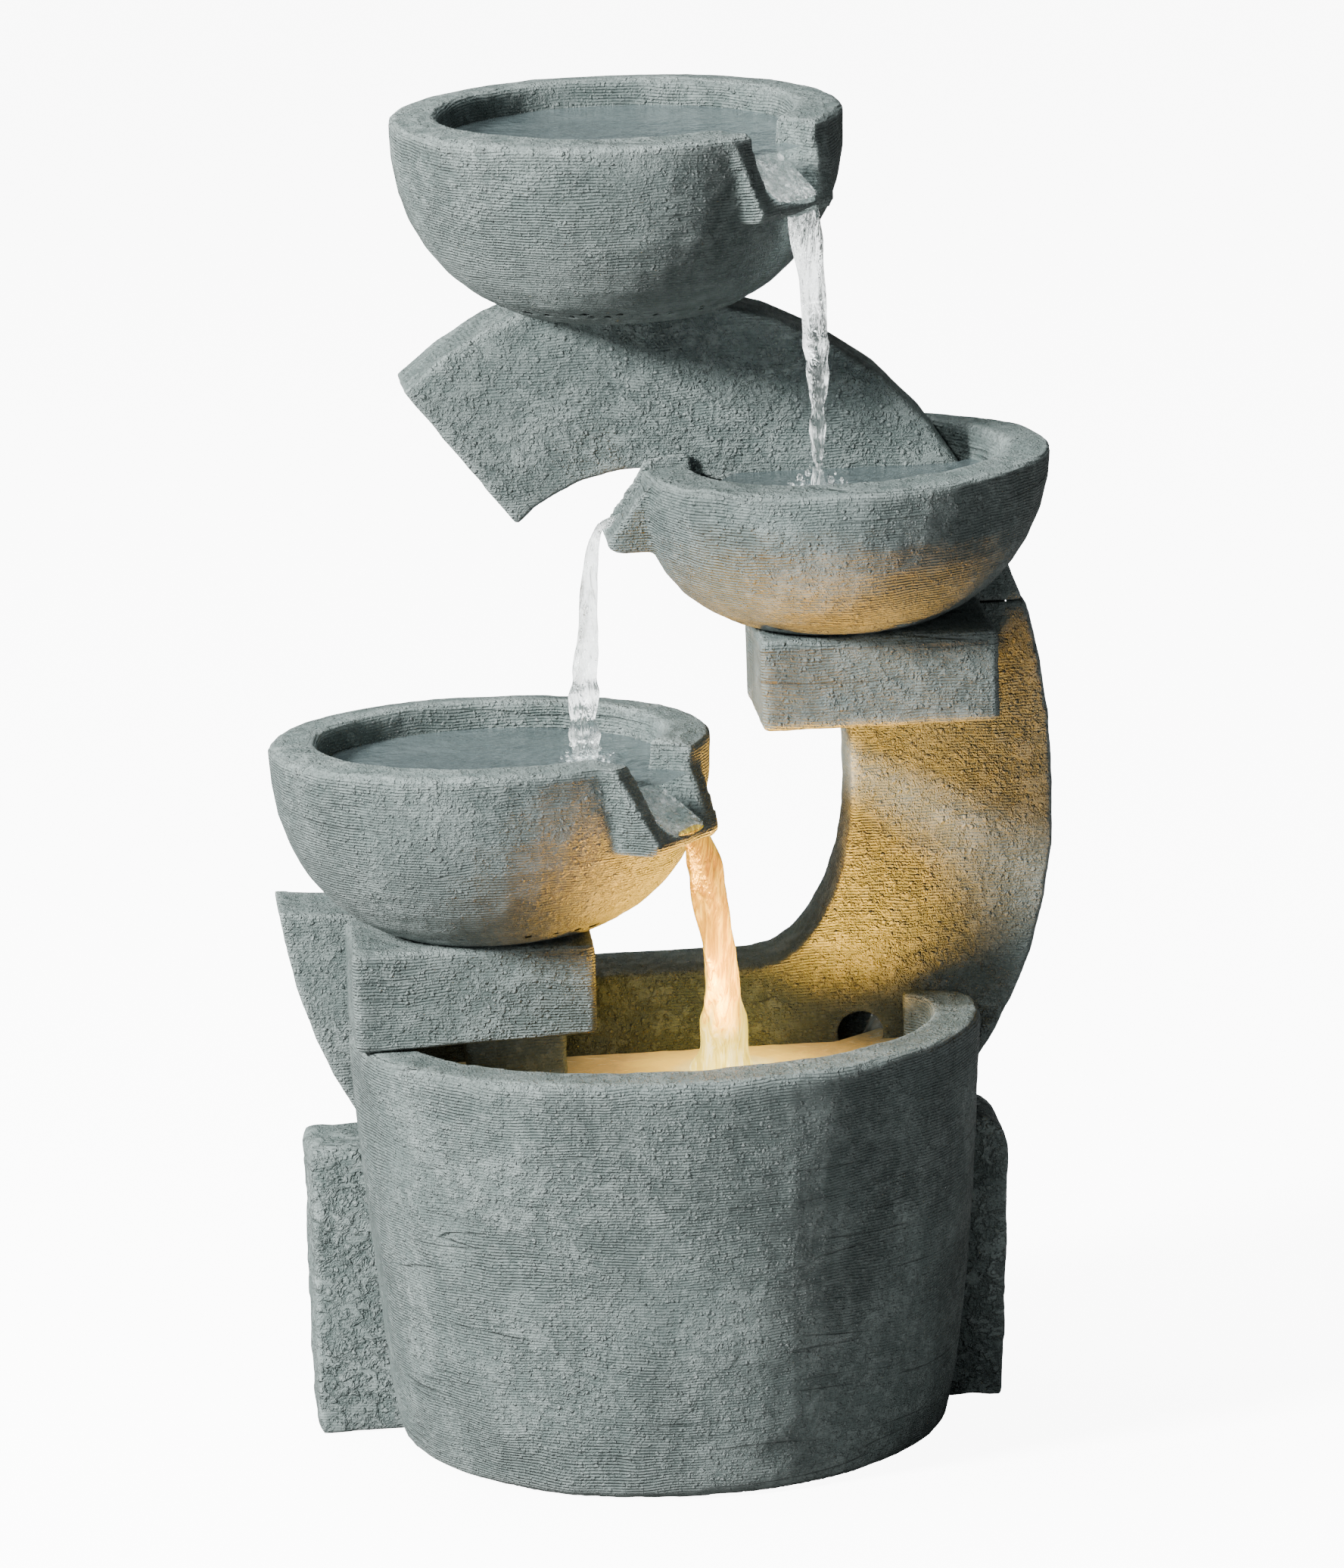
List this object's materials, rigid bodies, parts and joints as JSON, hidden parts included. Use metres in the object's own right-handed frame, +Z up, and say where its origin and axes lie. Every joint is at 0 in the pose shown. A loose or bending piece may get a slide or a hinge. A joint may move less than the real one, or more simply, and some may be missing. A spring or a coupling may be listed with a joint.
{
  "type": "tiered bowl fountain",
  "caption": "Cascading fountain: spouted bowls on an open stone ring pour from tier to tier into an oval lit basin, fed by a pump hidden in the plinth.",
  "frame": {"origin": "on the ground under the basin, on the flat of the basin's underside", "axes": "+X to the viewer's right, +Y to the back, +Z up"},
  "size_m": [0.4282, 0.3073, 0.728],
  "materials": {
    "cast_stone": "rough stucco-like cast stone, lightly combed",
    "black_rubber": "matt moulded rubber",
    "black_plastic": "moulded, satin",
    "grey_plastic": "moulded, satin",
    "clear_vinyl": "flexible clear tubing",
    "screw_steel": "stainless, plain",
    "shaft_ceramic": "ground ceramic",
    "rotor_ferrite": "bonded ferrite magnet with moulded vanes",
    "circuit_board": "solder-masked board",
    "lens_clear": "clear, slightly frosted inside"
  },
  "bodies": {
    "fountain": {"crescent_upper": "cast_stone", "crescent_lower": "cast_stone", "back_panel_upper": "cast_stone", "back_panel_lower": "cast_stone", "rear_plinth": "cast_stone", "basin": "cast_stone", "lower_block": "cast_stone", "middle_block": "cast_stone", "lower_pedestal": "cast_stone", "upper_bowl": "cast_stone", "middle_bowl": "cast_stone", "lower_bowl": "cast_stone", "cable_gland": "black_rubber", "riser_elbow": "grey_plastic", "riser_washer": "black_rubber", "riser_nut": "grey_plastic", "pump_body": "black_plastic", "bush_rear": "black_rubber", "bush_front": "black_rubber", "impeller_shaft": "shaft_ceramic", "volute_cover": "black_plastic", "pump_base": "black_plastic", "suction_cup_1": "black_rubber", "suction_cup_2": "black_rubber", "suction_cup_3": "black_rubber", "suction_cup_4": "black_rubber", "hose_adapter": "grey_plastic", "supply_hose": "clear_vinyl", "light_1_housing": "black_plastic", "light_1_board": "circuit_board", "light_1_lens": "lens_clear", "light_1_ring": "black_plastic", "light_2_housing": "black_plastic", "light_2_board": "circuit_board", "light_2_lens": "lens_clear", "light_2_ring": "black_plastic", "light_lead_1": "black_rubber", "light_lead_2": "black_rubber", "splice_box": "black_plastic", "pump_lead": "black_rubber", "supply_lead": "black_rubber"},
    "impeller": {"impeller": "rotor_ferrite"},
    "strainer": {"intake_strainer": "black_plastic"},
    "dial": {"flow_dial": "grey_plastic"},
    "door": {"access_door": "cast_stone", "door_screw_1": "screw_steel", "door_screw_2": "screw_steel", "door_screw_3": "screw_steel", "door_screw_4": "screw_steel"},
    "plug": {"drain_plug": "black_rubber"}
  },
  "joints": [
    {"name": "impeller_spin", "type": "hinge", "parent": "fountain", "child": "impeller", "pos_m": [0.0955, 0.094, 0.0376], "axis": [1, 0, 0], "continuous": true},
    {"name": "strainer_slide", "type": "slide", "parent": "fountain", "child": "strainer", "axis": [-1, 0, 0], "range_m": [0, 0.022]},
    {"name": "flow_dial_turn", "type": "hinge", "parent": "strainer", "child": "dial", "pos_m": [0.0694, 0.094, 0.0376], "axis": [1, 0, 0], "range_deg": [0, 90]},
    {"name": "access_door_pull", "type": "slide", "parent": "fountain", "child": "door", "axis": [0, 1, 0], "range_m": [0, 0.12]},
    {"name": "drain_plug_pull", "type": "slide", "parent": "fountain", "child": "plug", "axis": [0, 1, 0], "range_m": [0, 0.03]}
  ]
}
